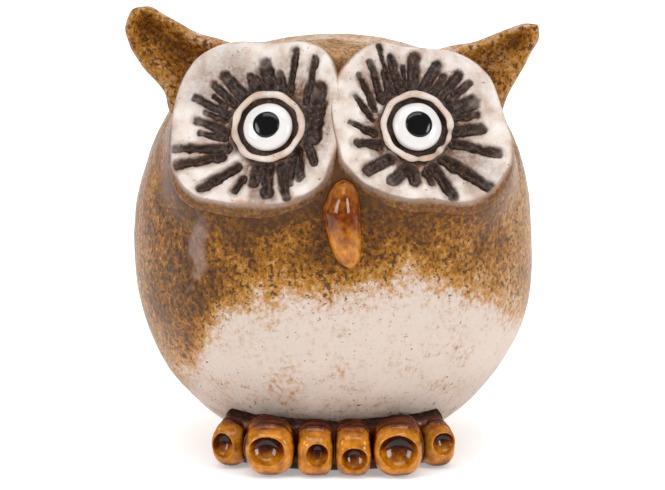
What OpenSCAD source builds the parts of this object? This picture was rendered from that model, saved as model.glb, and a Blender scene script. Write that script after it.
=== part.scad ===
// Hand-built stoneware owl coin bank. Millimetres, +Z up, the owl looks along -Y.
// The origin is on the ground under the middle of the whole piece.

/* [Pot] */
// Diameter of the round pot at its widest
body_d = 110; // [90:1:140]
// Height of the widest line above the ground
belly_z = 50; // [42:1:65]
// Rise of the crown above the widest line
crown_h = 61; // [48:1:76]
// Squareness of the head's curve, 2 is an ellipse
head_square = 2.4; // [2:0.05:3]
// Thickness of the clay wall
wall = 6; // [4:0.5:8]
// Thickness of the base
base_t = 9; // [7.5:0.5:12]
// Diameter of the flat foot
foot_d = 55; // [48:1:64]
// Height of the bevel between the foot and the round of the pot
foot_bevel_h = 4; // [2:0.5:5]

/* [Coin slot] */
// Length of the slot
slot_l = 35; // [28:1:40]
// Width of the slot
slot_w = 5; // [4.6:0.2:7]
// Distance of the slot behind the pot's axis
slot_back = 28; // [22:1:32]

/* [Stopper] */
// Diameter of the hole in the base
hole_d = 30; // [24:0.5:32]
// Diameter of the recess round the hole
recess_d = 37; // [34:0.5:42]
// Depth of the recess
recess_h = 4; // [3:0.25:5]
// Thickness of the stopper's flange
flange_t = 2.4; // [1.5:0.1:2.8]
// Gap between the flange's edge and the recess
flange_gap = 1; // [0.5:0.25:2]
// Running clearance between the plug and the hole, on the radius
plug_clearance = 0.05; // [0.02:0.01:0.1]
// How far the plug reaches past the base into the pot
plug_past = 2.5; // [1:0.5:5]
// Thickness of the plug's rubber wall
plug_wall = 3; // [2:0.5:5]
// Inner radius of the finger groove in the flange
groove_r = 7; // [5:0.5:9]
// Width of the finger groove
groove_w = 3; // [2:0.5:4]
// Depth of the finger groove
groove_h = 1; // [0.5:0.25:1.25]

/* [Face discs] */
// Width of the left disc
left_disc_w = 44; // [36:0.5:53]
// Width of the right disc
right_disc_w = 46; // [38:0.5:56]
// Height of both discs
disc_h = 45.4; // [37:0.5:55]
// Squareness of the discs' outline, 2 is an ellipse
disc_square = 2.9; // [2.2:0.1:4]
// Thickness of the discs
disc_t = 4.5; // [3:0.5:6]
// Backward lean of the discs, in degrees
disc_lean = 28; // [15:1:35]
// Sideways turn of the discs, in degrees
disc_turn = 13; // [5:1:20]
// Height of the discs' middle above the widest line
disc_up = 44.4; // [38:0.2:50]
// Distance of the left disc's middle from the pot's axis
left_disc_out = 22; // [18:0.5:28]
// Distance of the right disc's middle from the pot's axis
right_disc_out = 24.6; // [20:0.5:30]
// How far the discs' faces stand in front of the pot at their middle
disc_proud = 5.2; // [4:0.2:8]

/* [Eyes] */
// Diameter of the eyeballs
eyeball_d = 13; // [10:0.5:16]
// Height of the eyeballs' domes
eyeball_h = 3; // [2:0.25:5]
// Diameter of the pupils
pupil_d = 6.9; // [5:0.1:9]
// Height that the pupils stand above the eyeballs
pupil_h = 0.6; // [0.4:0.1:1.2]
// Thickness of the clay coil round the eyes
ring_t = 2; // [1.6:0.2:3]
// Gap between the eyeball and the coil
ring_gap = 1.5; // [0.4:0.1:2]
// Shift of the left eye towards the beak on its disc
left_eye_in = 5; // [0:0.2:6]
// Shift of the right eye towards the beak on its disc
right_eye_in = 3.1; // [0:0.2:6]
// Shift of the eyes down their discs
eye_down = 1.2; // [0:0.2:4]

/* [Ears] */
// Height of the ears' roots above the widest line
ear_up = 50; // [44:1:54]
// Length of the left ear from its root to its tip's middle
left_ear_l = 22.2; // [15:0.2:28]
// Upward angle of the left ear, in degrees
left_ear_angle = 44; // [25:1:60]
// Radius of the left ear's tip
left_ear_tip_r = 3.9; // [2:0.1:5]
// Length of the right ear from its root to its tip's middle
right_ear_l = 19.8; // [15:0.2:28]
// Upward angle of the right ear, in degrees
right_ear_angle = 36; // [25:1:60]
// Radius of the right ear's tip
right_ear_tip_r = 3.2; // [2:0.1:5]
// Width of the ears across their roots
ear_w = 21; // [16:0.5:26]
// Radius of the clay along both edges of the ears' roots
ear_root_r = 5.2; // [4:0.2:7]
// Depth of the hollow down the front of the ears
ear_hollow = 2; // [1:0.25:3]
// Distance of the ears in front of the pot's axis
ear_forward = 2; // [0:0.5:8]

/* [Beak] */
// Height of the beak's widest line above the pot's widest line
beak_up = 23.7; // [18:0.5:30]
// Distance of the beak's root to the right of the pot's axis
beak_side = 1.9; // [-3:0.1:3]
// Drop from the beak's widest line to the middle of its tip
beak_drop = 12.3; // [8:0.1:16]
// Width of the beak
beak_w = 10.4; // [7:0.2:14]
// Radius of the beak's tip
beak_tip_r = 2.3; // [1.5:0.1:3]
// How far the beak's tip leans to the right of its root
beak_lean = 2.1; // [-3:0.1:3]
// How far the beak's tip stands in front of its widest line
beak_proud = 2; // [1:0.25:4]

/* [Feet] */
// Height of the foot slab
slab_h = 14.7; // [11:0.1:17]
// Distance of the slab's back edge in front of the pot's axis
slab_back = 16; // [8:1:22]
// How far the slab's front edge stands out from the pot at its top
slab_out = 2.2; // [1:0.1:4]
// Width of the foot slab from side to side
slab_w = 62; // [52:1:70]
// How far the inner toes reach in front of the slab
toe_reach = 7; // [4:0.5:12]
// Width of the inner toes
inner_toe_w = 9.4; // [7:0.1:9.6]
// Height of the inner toes
inner_toe_h = 13.4; // [10:0.1:14.4]
// Width of the middle toes
middle_toe_w = 13; // [10:0.1:13.4]
// Height of the middle toes
middle_toe_h = 14.2; // [13.5:0.1:15]
// Width of the outer toes
outer_toe_w = 9.2; // [6:0.1:10]
// Height of the outer toes
outer_toe_h = 12.4; // [9.5:0.1:13.5]
// Outward turn of the outer toes, in degrees
outer_toe_turn = 14; // [0:1:25]
// Gap between the two inner toes
inner_gap = 0.6; // [0.2:0.1:2]
// Gap between an inner toe and a middle toe
middle_gap = 0.9; // [0.2:0.1:2]
// Gap between a middle toe and an outer toe
outer_gap = 1.3; // [0.8:0.1:3]
// How far the middle toes stand in front of the inner ones, round the pot's axis
middle_forward = 2.2; // [0:0.1:4]
// How far the outer toes stand behind the inner ones, round the pot's axis
outer_back = 1.5; // [-1:0.1:4]

/* [Hidden] */
$fn = 96;

body_r = body_d / 2;
profile_steps = 24;
round_fn = 32;
seat_gap = 0.02;
bed_deep = 16;
bed_inset = 4.5;
slab_batter = 1.5;
ring_lift = 0.35;
ear_root_out = 1.5;
ear_root_in = 5;
hollow_start = 3;
hollow_share = 0.8;
hollow_flare = 2;
beak_neck_up = 4.5;
beak_neck_share = 0.36;
beak_keel_down = 8;
beak_keel_r = 3;
toe_back = 9;
dimple_share = 0.7;

// Radius of the pot at a height measured from its widest line
function skin(z) = z >= 0
    ? body_r * pow(1 - pow(min(z / crown_h, 1), head_square), 1 / head_square)
    : sqrt(pow(body_r, 2) - pow(z, 2));

// Distance of the pot's front surface from its axis, at a place x across and z up
function front(x, z) = sqrt(max(pow(skin(z), 2) - pow(x, 2), 0));

disc_face = front((left_disc_out + right_disc_out) / 2, disc_up) + disc_proud;
ring_r = eyeball_d / 2 + ring_gap + ring_t / 2;
beak_reach = front(beak_side, beak_up) + beak_w / 2 + beak_proud;
slab_top_r = skin(slab_h - belly_z) + slab_out;
axis_y = (beak_reach - body_r) / 2;

// Stands a piece on the pot's axis, which is a little behind the origin
module on_axis() translate([0, axis_y, 0]) children();

// The half outline of the pot, or of its hollow when inset by the wall
module half_outline(inset, bottom) {
    r = body_r - inset;
    h = crown_h - inset;
    translate([0, belly_z])
        polygon([[0, -0.01], for (i = [0:profile_steps])
            let (a = 90 * i / profile_steps)
            [r * pow(cos(a), 2 / head_square), h * pow(sin(a), 2 / head_square)]]);
    intersection() {
        translate([0, belly_z]) circle(r = r);
        translate([0, bottom]) square([r + 1, belly_z - bottom]);
    }
}

module pot_solid() rotate_extrude() {
    half_outline(0, foot_bevel_h);
    polygon([[0, 0], [foot_d / 2, 0], [skin(foot_bevel_h - belly_z), foot_bevel_h], [0, foot_bevel_h]]);
}

module pot_hollow() rotate_extrude() half_outline(wall, base_t);

module coin_slot() translate([0, slot_back, belly_z]) linear_extrude(crown_h + 1) {
    square([slot_l - slot_w, slot_w], center = true);
    for (side = [-1, 1]) translate([side * (slot_l - slot_w) / 2, 0]) circle(d = slot_w);
}

module body_shell() color("#a5702c") on_axis() difference() {
    pot_solid();
    pot_hollow();
    coin_slot();
    translate([0, 0, -1]) cylinder(d = hole_d, h = base_t + 2);
    translate([0, 0, -1]) cylinder(d = recess_d, h = recess_h + 1);
}

// Rubber bung: a flange that sits in the recess and a hollow plug with a lead-in
module stopper() color("#d8d4c8") on_axis() {
    plug_r = hole_d / 2 - plug_clearance;
    plug_top = base_t + plug_past;
    seat = recess_h - seat_gap;
    rotate_extrude() difference() {
        union() {
            translate([0, seat - flange_t]) square([recess_d / 2 - flange_gap, flange_t]);
            polygon([[0, seat], [plug_r, seat], [plug_r, base_t], [plug_r - 1, plug_top], [0, plug_top]]);
        }
        translate([0, base_t - 2]) square([plug_r - plug_wall, plug_past + 3]);
        translate([groove_r, seat - flange_t - groove_h]) square([groove_w, 2 * groove_h]);
    }
}

// A clay piece pressed on the pot: whatever would be inside the pot is cut away
module luted() difference() {
    children();
    pot_solid();
}

// An ear: side is -1 for the left one and 1 for the right one
module ear(side, length, angle, tip_r) {
    spread = ear_w / 2 - ear_root_r;
    root = [skin(ear_up), 0, ear_up];
    along = [cos(angle), 0, sin(angle)];
    across = [-sin(angle), 0, cos(angle)];
    translate([0, -ear_forward, belly_z]) mirror([side < 0 ? 1 : 0, 0, 0]) difference() {
        hull() {
            for (s = [-1, 1])
                translate(root + ear_root_out * along + s * spread * across)
                    sphere(ear_root_r, $fn = round_fn);
            translate(root - ear_root_in * along) sphere(ear_root_r, $fn = round_fn);
            translate(root + length * along) sphere(tip_r, $fn = round_fn);
        }
        hull() {
            translate(root + hollow_start * along - [0, ear_root_r + hollow_flare, 0])
                sphere(ear_hollow + hollow_flare, $fn = round_fn);
            translate(root + hollow_share * length * along - [0, tip_r + 1, 0])
                sphere(ear_hollow, $fn = round_fn);
        }
    }
}

module left_ear() color("#a5702c") on_axis() luted()
    ear(-1, left_ear_l, left_ear_angle, left_ear_tip_r);
module right_ear() color("#a5702c") on_axis() luted()
    ear(1, right_ear_l, right_ear_angle, right_ear_tip_r);

// Puts children on the front face of a disc: local z points out of the face, local y up it
module on_disc(side, out) translate([side * out, -disc_face, belly_z + disc_up])
    rotate([0, 0, side * disc_turn]) rotate([90 - disc_lean, 0, 0]) children();

module disc_outline(w, h) {
    steps = 40;
    polygon([for (i = [0:steps - 1])
        let (a = 360 * i / steps, c = cos(a), s = sin(a))
        [sign(c) * w / 2 * pow(abs(c), 2 / disc_square), sign(s) * h / 2 * pow(abs(s), 2 / disc_square)]]);
}

// The slab of a face disc, with the bed of clay behind it that joins it to the head
module disc_slab(side, out, w) on_disc(side, out) {
    translate([0, 0, -disc_t]) linear_extrude(disc_t) disc_outline(w, disc_h);
    translate([0, 0, -disc_t - bed_deep]) linear_extrude(bed_deep)
        disc_outline(w - 2 * bed_inset, disc_h - 2 * bed_inset);
}

// The seat of an eye: a flat land pressed into the disc
module eye_seat(side, out, inward) on_disc(side, out) translate([-side * inward, -eye_down, 0])
    children();

module left_face_disc() color("#e6ddd0") on_axis() luted() disc_slab(-1, left_disc_out, left_disc_w);
module right_face_disc() color("#e6ddd0") on_axis() difference() {
    luted() disc_slab(1, right_disc_out, right_disc_w);
    disc_slab(-1, left_disc_out, left_disc_w);
}

module eye_ring(side, out, inward) eye_seat(side, out, inward) difference() {
    rotate_extrude() translate([ring_r, ring_lift * ring_t]) circle(d = ring_t, $fn = round_fn);
    translate([0, 0, -ring_t]) cylinder(r = ring_r + ring_t, h = ring_t);
}

module left_eye_ring() color("#e8dccb") on_axis() eye_ring(-1, left_disc_out, left_eye_in);
module right_eye_ring() color("#e8dccb") on_axis() eye_ring(1, right_disc_out, right_eye_in);

eyeball_sphere_r = (pow(eyeball_d / 2, 2) + pow(eyeball_h, 2)) / (2 * eyeball_h);

module eyeball_dome() intersection() {
    translate([0, 0, eyeball_h - eyeball_sphere_r]) sphere(eyeball_sphere_r);
    cylinder(d = eyeball_d, h = eyeball_h + 1);
}

module pupil_dome() difference() {
    intersection() {
        translate([0, 0, eyeball_h + pupil_h - eyeball_sphere_r]) sphere(eyeball_sphere_r);
        cylinder(d = pupil_d, h = eyeball_h + 2);
    }
    translate([0, 0, eyeball_h - eyeball_sphere_r]) sphere(eyeball_sphere_r);
}

module left_eyeball() color("white") on_axis()
    eye_seat(-1, left_disc_out, left_eye_in) eyeball_dome();
module right_eyeball() color("white") on_axis()
    eye_seat(1, right_disc_out, right_eye_in) eyeball_dome();
module left_pupil() color("black") on_axis() eye_seat(-1, left_disc_out, left_eye_in) pupil_dome();
module right_pupil() color("black") on_axis() eye_seat(1, right_disc_out, right_eye_in) pupil_dome();

// The beak: a pinched drop, tucked under the discs' inner edges
module beak() color("#b8741a") on_axis() difference() {
    translate([beak_side, 0, belly_z + beak_up]) hull() {
        translate([beak_lean / 3, -front(0, beak_up + beak_neck_up) + 1, beak_neck_up])
            sphere(beak_w * beak_neck_share, $fn = round_fn);
        translate([0, -front(0, beak_up), 0]) sphere(beak_w / 2, $fn = round_fn);
        translate([beak_lean, beak_tip_r - beak_reach, -beak_drop]) sphere(beak_tip_r, $fn = round_fn);
        translate([0.75 * beak_lean, -front(0, beak_up - beak_keel_down), -beak_keel_down])
            sphere(beak_keel_r, $fn = round_fn);
    }
    pot_solid();
    disc_slab(-1, left_disc_out, left_disc_w);
    disc_slab(1, right_disc_out, right_disc_w);
}

// The strap of clay under the front of the pot
module slab_solid() intersection() {
    cylinder(r1 = slab_top_r + slab_batter, r2 = slab_top_r, h = slab_h);
    translate([-slab_w / 2, -body_d, 0]) cube([slab_w, body_d - slab_back, slab_h]);
}

module foot_slab() color("#5a3a1c") on_axis() luted() slab_solid();

// A rolled toe with a pressed dimple: x is its place across, reach its tip's distance
// in front of the axis, and turn is how far it points outward
module toe(x, reach, w, h, turn) {
    r = w / 2;
    dimple_d = w * dimple_share;
    difference() {
        translate([x, -reach, 0]) rotate([0, 0, turn]) difference() {
            translate([0, r, 0]) {
                for (z = [r, h - r]) translate([0, 0, z]) {
                    sphere(r);
                    rotate([-90, 0, 0]) cylinder(r = r, h = toe_back);
                }
                translate([0, 0, r]) cylinder(r = r, h = h - 2 * r);
                translate([-r, 0, r]) cube([2 * r, toe_back, h - 2 * r]);
            }
            translate([0, -dimple_d / 4, h / 2]) sphere(d = dimple_d);
        }
        slab_solid();
        pot_solid();
    }
}

// Toes stand side by side on an arc in front of the slab
inner_x = (inner_toe_w + inner_gap) / 2;
middle_x = inner_x + (inner_toe_w + middle_toe_w) / 2 + middle_gap;
outer_x = middle_x + (middle_toe_w + outer_toe_w) / 2 + outer_gap;
inner_reach = slab_top_r + toe_reach;
middle_reach = sqrt(pow(inner_reach + middle_forward, 2) - pow(middle_x, 2));
outer_reach = sqrt(pow(inner_reach - outer_back, 2) - pow(outer_x, 2));

module inner_toe(side) toe(side * inner_x, inner_reach, inner_toe_w, inner_toe_h, 0);
module middle_toe(side) toe(side * middle_x, middle_reach, middle_toe_w, middle_toe_h, 0);
module outer_toe(side)
    toe(side * outer_x, outer_reach, outer_toe_w, outer_toe_h, side * outer_toe_turn);

module left_outer_toe() color("#a8641a") on_axis() outer_toe(-1);
module left_middle_toe() color("#b8741a") on_axis() middle_toe(-1);
module left_inner_toe() color("#a8641a") on_axis() inner_toe(-1);
module right_inner_toe() color("#a8641a") on_axis() inner_toe(1);
module right_middle_toe() color("#b8741a") on_axis() middle_toe(1);
module right_outer_toe() color("#a8641a") on_axis() outer_toe(1);

body_shell();
left_ear();
right_ear();
left_face_disc();
right_face_disc();
left_eye_ring();
right_eye_ring();
left_eyeball();
right_eyeball();
left_pupil();
right_pupil();
beak();
foot_slab();
left_outer_toe();
left_middle_toe();
left_inner_toe();
right_inner_toe();
right_middle_toe();
right_outer_toe();
stopper();
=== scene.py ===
# Hand-built stoneware owl coin bank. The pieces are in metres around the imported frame; each is
# worked in millimetres from the pot's upright axis, x to the right, y to the back, z up.
import itertools
import math

import bmesh
import bpy
import numpy as np
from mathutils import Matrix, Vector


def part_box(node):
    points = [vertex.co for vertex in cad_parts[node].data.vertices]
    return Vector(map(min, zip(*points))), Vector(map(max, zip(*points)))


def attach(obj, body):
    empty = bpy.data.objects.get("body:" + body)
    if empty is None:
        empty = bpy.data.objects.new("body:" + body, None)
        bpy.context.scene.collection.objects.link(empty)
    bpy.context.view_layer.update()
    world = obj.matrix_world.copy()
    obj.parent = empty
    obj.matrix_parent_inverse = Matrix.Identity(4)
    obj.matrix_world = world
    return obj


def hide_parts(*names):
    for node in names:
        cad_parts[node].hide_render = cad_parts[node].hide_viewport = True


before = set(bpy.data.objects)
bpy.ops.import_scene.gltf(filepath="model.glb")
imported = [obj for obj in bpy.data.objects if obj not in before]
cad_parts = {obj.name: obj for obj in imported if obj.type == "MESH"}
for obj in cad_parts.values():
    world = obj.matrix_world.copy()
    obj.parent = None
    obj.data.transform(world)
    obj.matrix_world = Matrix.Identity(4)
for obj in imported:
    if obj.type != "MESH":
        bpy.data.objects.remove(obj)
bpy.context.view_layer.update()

# ---------------------------------------------------------------------------------------------
# The studio: a white paper floor that the owl stands on, soft boxes to both sides and above, and
# a wide light that washes the paper behind it. The camera looks down a little from the front.
pot_low, pot_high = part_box("body_shell")
axis_y = (pot_low.y + pot_high.y) / 2
pot_r = (pot_high.x - pot_low.x) / 2 * 1000
belly_z = 50.0
crown_h = pot_high.z * 1000 - belly_z

camera_away = 0.9
camera_up = math.radians(12)
picture_w = 0.1847
aim = (-0.0004, 0.0028)

camera_data = bpy.data.cameras.new("camera")
camera = bpy.data.objects.new("camera", camera_data)
bpy.context.scene.collection.objects.link(camera)
camera_data.lens = camera_data.sensor_width * camera_away / picture_w
camera.rotation_euler = (math.pi / 2 - camera_up, 0, 0)
camera.location = (
    aim[0],
    axis_y - camera_away * math.cos(camera_up) + aim[1] * math.sin(camera_up),
    belly_z / 1000 + camera_away * math.sin(camera_up) + aim[1] * math.cos(camera_up),
)
bpy.context.scene.camera = camera
bpy.context.scene.view_settings.view_transform = "Standard"


def linear(hex_colour):
    """An sRGB hex colour as linear RGBA."""
    channels = [int(hex_colour[i : i + 2], 16) / 255 for i in (1, 3, 5)]
    return [c / 12.92 if c <= 0.04045 else ((c + 0.055) / 1.055) ** 2.4 for c in channels] + [1]


def add(material, kind, inputs={}, ramp=None, **settings):
    """Adds a shader node to a material, with its settings, and links or sets its inputs."""
    node = material.node_tree.nodes.new("ShaderNode" + kind)
    for name, value in settings.items():
        setattr(node, name, value)
    for name, value in inputs.items():
        if isinstance(value, bpy.types.NodeSocket):
            material.node_tree.links.new(value, node.inputs[name])
        else:
            node.inputs[name].default_value = value
    if ramp:
        while len(node.color_ramp.elements) < len(ramp):
            node.color_ramp.elements.new(0.5)
        for element, (place, colour) in zip(node.color_ramp.elements, ramp):
            element.position = place
            element.color = linear(colour) if isinstance(colour, str) else [colour] * 3 + [1]
    return node


def new_material(name):
    material = bpy.data.materials.new(name)
    material.use_nodes = True
    material.node_tree.nodes.clear()
    return material


# Matt paper, lifted a little by its own light so that it shows as clean white
paper = new_material("white studio paper")
paper_shader = add(paper, "BsdfPrincipled", {
    "Base Color": linear("#fbfbfb"), "Roughness": 0.9,
    "Emission Color": linear("#ffffff"), "Emission Strength": 0.32})
add(paper, "OutputMaterial", {"Surface": paper_shader.outputs[0]})

bpy.ops.mesh.primitive_plane_add(size=6, location=(0, 0, 0))
floor = bpy.context.object
floor.name = "studio_floor"
floor.data.materials.append(paper)

world = bpy.data.worlds.new("studio")
bpy.context.scene.world = world
world.use_nodes = True
world.node_tree.nodes["Background"].inputs["Color"].default_value = (1, 1, 1, 1)
world.node_tree.nodes["Background"].inputs["Strength"].default_value = 0.24

for name, place, aim_at, size, power in (
    ("soft box left", (-0.8, -0.6, 0.55), (0, 0, 0.05), (0.35, 0.5), 4.2),
    ("soft box right", (0.85, -0.6, 0.5), (0, 0, 0.05), (0.3, 0.5), 4.6),
    ("soft box over", (0.0, -0.25, 1.0), (0, 0, 0.05), (0.9, 0.5), 4.4),
    ("sweep light", (0.0, 1.5, 1.3), (0, 1.2, 0), (3.0, 1.2), 30),
):
    lamp_data = bpy.data.lights.new(name, "AREA")
    lamp_data.shape = "RECTANGLE"
    lamp_data.size, lamp_data.size_y = size
    lamp_data.energy = power
    lamp = bpy.data.objects.new(name, lamp_data)
    bpy.context.scene.collection.objects.link(lamp)
    lamp.location = place
    toward = Vector(aim_at) - Vector(place)
    lamp.rotation_euler = toward.to_track_quat("-Z", "Y").to_euler()

# ---------------------------------------------------------------------------------------------
# The pot: body and head in one, pinched and paddled from buff stoneware, with a wedge of clay
# behind each face disc. The coin slot is cut behind the crown, the stopper's hole in the base.
wall = 6.0
base_t = 9.0
head_square = 2.4
foot_r = 27.5
foot_bevel = 4.0
slot_l, slot_w, slot_back = 35.0, 5.0, 28.0
hole_r, recess_r, recess_h = 15.0, 18.5, 4.0
slot_lip = 1.8
disc_lean, disc_turn = math.radians(28), math.radians(13)
ring_proud = 0.85  # the middle of an eye ring over its disc's face
bed_depth = 3.6  # the clay bed under a disc, below its face


def lump(points, size, seed):
    """Smooth random relief from -1 to 1, with lumps of that size."""
    q = points / size + 100.0 + 7.31 * seed
    cell = np.floor(q).astype(np.int64)
    t = q - cell
    t = t * t * (3 - 2 * t)
    total = np.zeros(len(points))
    for corner in itertools.product((0, 1), repeat=3):
        c = cell + corner
        h = (c[:, 0] * 73856093) ^ (c[:, 1] * 19349663) ^ (c[:, 2] * 83492791) ^ (seed * 961748927)
        h = (h ^ (h >> 15)) * 2246822519 & 0xFFFFFFFF
        h = (h ^ (h >> 13)) * 3266489917 & 0xFFFFFFFF
        value = ((h ^ (h >> 16)) & 0xFFFF) / 32767.5 - 1
        total += value * np.prod(np.where(corner, t, 1 - t), axis=1)
    return total


def ease(x, low, high):
    """0 below low, 1 above high, and a smooth step between them."""
    t = np.clip((np.asarray(x, float) - low) / (high - low), 0, 1)
    return t * t * (3 - 2 * t)


def ball(cuts):
    """Even points on a unit ball, as a grid of quads on each side of a cube."""
    bm = bmesh.new()
    bmesh.ops.create_cube(bm, size=2)
    bmesh.ops.subdivide_edges(bm, edges=bm.edges, cuts=cuts, use_grid_fill=True)
    points = np.array([v.co for v in bm.verts])
    faces = [[v.index for v in f.verts] for f in bm.faces]
    bm.free()
    points = np.tan(points * math.pi / 4)
    return points / np.linalg.norm(points, axis=1)[:, None], faces


def mesh_piece(name, points, faces, masks={}):
    """A smooth-shaded piece from points in millimetres round the pot's axis."""
    mesh = bpy.data.meshes.new(name)
    world_points = (np.asarray(points) + (0, axis_y * 1000, 0)) / 1000
    mesh.from_pydata(world_points.tolist(), [], faces)
    for mask, values in masks.items():
        mesh.attributes.new(mask, "FLOAT", "POINT").data.foreach_set("value", np.asarray(values, np.float32))
    mesh.shade_smooth()
    solid = bmesh.new()
    solid.from_mesh(mesh)
    if solid.calc_volume(signed=True) < 0:
        mesh.flip_normals()
    solid.free()
    piece = bpy.data.objects.new(name, mesh)
    bpy.context.scene.collection.objects.link(piece)
    return piece


def skin(z):
    """Radius of the pot at a height above its widest line."""
    z = np.asarray(z, float)
    head = pot_r * (1 - np.clip(z / crown_h, 0, 1) ** head_square) ** (1 / head_square)
    return np.where(z > 0, head, np.sqrt(np.clip(pot_r**2 - z**2, 0, None)))


def pot_reach(rise):
    """Distance from the pot's middle to its skin, in the direction of that upward angle."""
    c, s = np.maximum(np.cos(rise), 1e-9), np.sin(rise)
    head = ((c / pot_r) ** head_square + (np.abs(s) / crown_h) ** head_square) ** (-1 / head_square)
    bevel_top = float(skin(foot_bevel - belly_z))
    slope = (bevel_top - foot_r) / foot_bevel
    bevel = (foot_r + slope * belly_z) / np.maximum(c - slope * s, 1e-9)
    below = np.where((s < 0) & (bevel * s < foot_bevel - belly_z), np.maximum(bevel, pot_r), pot_r)
    ground = belly_z / np.maximum(-s, 1e-9)
    below = (below**-40.0 + ground**-40.0) ** (-1 / 40)
    return np.where(s > 0, head, below)


def disc_frame(eye_ring, side):
    """A face disc's eye point on its front face, its rightward, upward and outward directions."""
    low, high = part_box(eye_ring)
    out = np.array([side * math.sin(disc_turn) * math.cos(disc_lean),
                    -math.cos(disc_turn) * math.cos(disc_lean), math.sin(disc_lean)])
    right = np.array([math.cos(disc_turn), side * math.sin(disc_turn), 0])
    up = np.cross(out, right)
    middle = np.array((low + high) / 2) * 1000 - (0, axis_y * 1000, 0)
    return middle - out * ring_proud, right, up, out


discs = [disc_frame("left_eye_ring", -1), disc_frame("right_eye_ring", 1)]

# The discs' outlines, as points round each eye, going anticlockwise from the right.
left_outline = [(19.6, 0.5), (19.2, 7), (17.6, 14), (15, 20), (11.6, 23.7), (5.5, 24.8), (-3, 24.3),
                (-9.5, 24.4), (-16.3, 23.2), (-21.5, 19.8), (-24, 16), (-25.9, 11.5), (-26.7, 4.5),
                (-26.6, -4), (-25.4, -12), (-22.1, -16.8), (-17.3, -20), (-9.3, -21), (-0.8, -21.6),
                (6.7, -20.3), (12.4, -18), (16.2, -14.5), (18.2, -8)]
right_outline = [(24.8, 2), (23.3, 9), (22, 14), (18.4, 18.2), (14, 20.9), (7, 22.3), (-0.5, 23.4),
                 (-6.6, 24.8), (-10.6, 24), (-14.8, 21), (-19, 16.2), (-22.3, 9), (-22.6, 0.5),
                 (-20.8, -9), (-16.5, -14.2), (-10.2, -18), (-3.7, -19.3), (4.2, -19.8), (8, -21.1),
                 (12.3, -21.3), (17.8, -18.9), (21.8, -14.8), (25.2, -10.6), (26.5, -4.8)]


def smooth_loop(points, count):
    """A closed curve through given points, as its angle-sorted radius at even angles."""
    points = np.array(points, float)
    ring = np.vstack([points, points[:1]])
    along = np.concatenate([[0], np.cumsum(np.linalg.norm(np.diff(ring, axis=0), axis=1))])
    fine = np.linspace(0, along[-1], 1200, endpoint=False)
    path = np.stack([np.interp(fine, along, ring[:, i]) for i in (0, 1)], axis=1)
    kernel = np.hanning(61) / np.hanning(61).sum()
    wrapped = np.vstack([path[-30:], path, path[:30]])
    path = np.stack([np.convolve(wrapped[:, i], kernel, "valid") for i in (0, 1)], axis=1)
    angle = np.unwrap(np.arctan2(path[:, 1], path[:, 0]))
    radius = np.hypot(path[:, 0], path[:, 1])
    wanted = np.linspace(0, 2 * math.pi, count, endpoint=False)
    order = np.argsort(angle % (2 * math.pi))
    return wanted, np.interp(wanted, (angle % (2 * math.pi))[order], radius[order], period=2 * math.pi)


disc_shapes = [smooth_loop(left_outline, 480), smooth_loop(right_outline, 480)]


def off_disc(points, disc, shape):
    """Each point's place up a disc, its height over the disc's face, and its way beyond the outline."""
    (eye, right, up, out), (angles, radii) = disc, shape
    rel = points - eye
    u, w, n = rel @ right, rel @ up, rel @ out
    edge = np.interp(np.arctan2(w, u) % (2 * math.pi), angles, radii, period=2 * math.pi)
    return w, n, np.hypot(u, w) - edge


def push_bed(points):
    """Raises the head under each face disc to the disc's back, with a soft slope round it."""
    for disc, shape in zip(discs, disc_shapes):
        _, n, beyond = off_disc(points, disc, shape)
        share = 1 - ease(beyond, -3.5, 9.0)
        near = (n > -26) & (beyond < 9.5)
        lift = np.where(near, np.clip(-bed_depth - n, 0, None) * share, 0)
        points = points + lift[:, None] * disc[3]
    for disc, shape in zip(discs, disc_shapes):
        _, n, beyond = off_disc(points, disc, shape)
        under = (1 - ease(beyond, -2.5, -0.2)) * (n > -bed_depth) * (n < 12)
        points = points - (np.clip(n + bed_depth, 0, None) * under)[:, None] * disc[3]
    return points


# A narrow run of glaze, by its middle and its half width and half height
run_across, run_high, run_half_w, run_half_h = -36, 11, 2.6, 9.5


def run_of_glaze(points):
    """How much of a pale run of glaze, below the left disc, covers each point."""
    across = points[:, 0] - run_across - 0.12 * (points[:, 2] - belly_z - 8)
    drop = np.hypot(across / run_half_w, (points[:, 2] - belly_z - run_high) / run_half_h)
    drop += 0.55 * lump(points, 3.2, 8) + 0.35 * lump(points, 1.6, 9)
    return (1 - ease(drop, 0.5, 1.15)) * (points[:, 1] < 0)


pot_points, pot_faces = ball(127)
rise = np.arcsin(np.clip(pot_points[:, 2], -1, 1))
pot_points = pot_points * pot_reach(rise)[:, None] + (0, 0, belly_z)
pot_points = push_bed(pot_points)
outward = pot_points - (0, 0, belly_z)
outward /= np.linalg.norm(outward, axis=1)[:, None]
off_ground = ease(pot_points[:, 2], 1.0, 8.0)
relief = 0.45 * lump(pot_points, 22, 1) + 0.22 * lump(pot_points, 9, 2) + 0.09 * lump(pot_points, 3.2, 3)
relief += 0.5 * run_of_glaze(pot_points)
pot_points = pot_points + outward * (relief * off_ground)[:, None]
slot_gap = np.hypot(np.maximum(np.abs(pot_points[:, 0]) - (slot_l - slot_w) / 2, 0),
                    pot_points[:, 1] - slot_back) - slot_w / 2
lip = slot_lip - np.sqrt(np.clip(slot_lip**2 - np.clip(slot_lip - slot_gap, 0, slot_lip) ** 2, 0, None))
pot_points[:, 2] -= np.where(pot_points[:, 2] > belly_z, lip, 0)
pot = mesh_piece("owl_pot", pot_points, pot_faces)


def cutter(name, points, faces):
    """A closed solid that is cut out of the pot and then thrown away."""
    solid = mesh_piece(name, points, faces)
    cut = pot.modifiers.new(name, "BOOLEAN")
    cut.operation, cut.solver, cut.object = "DIFFERENCE", "EXACT", solid
    return solid


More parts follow.
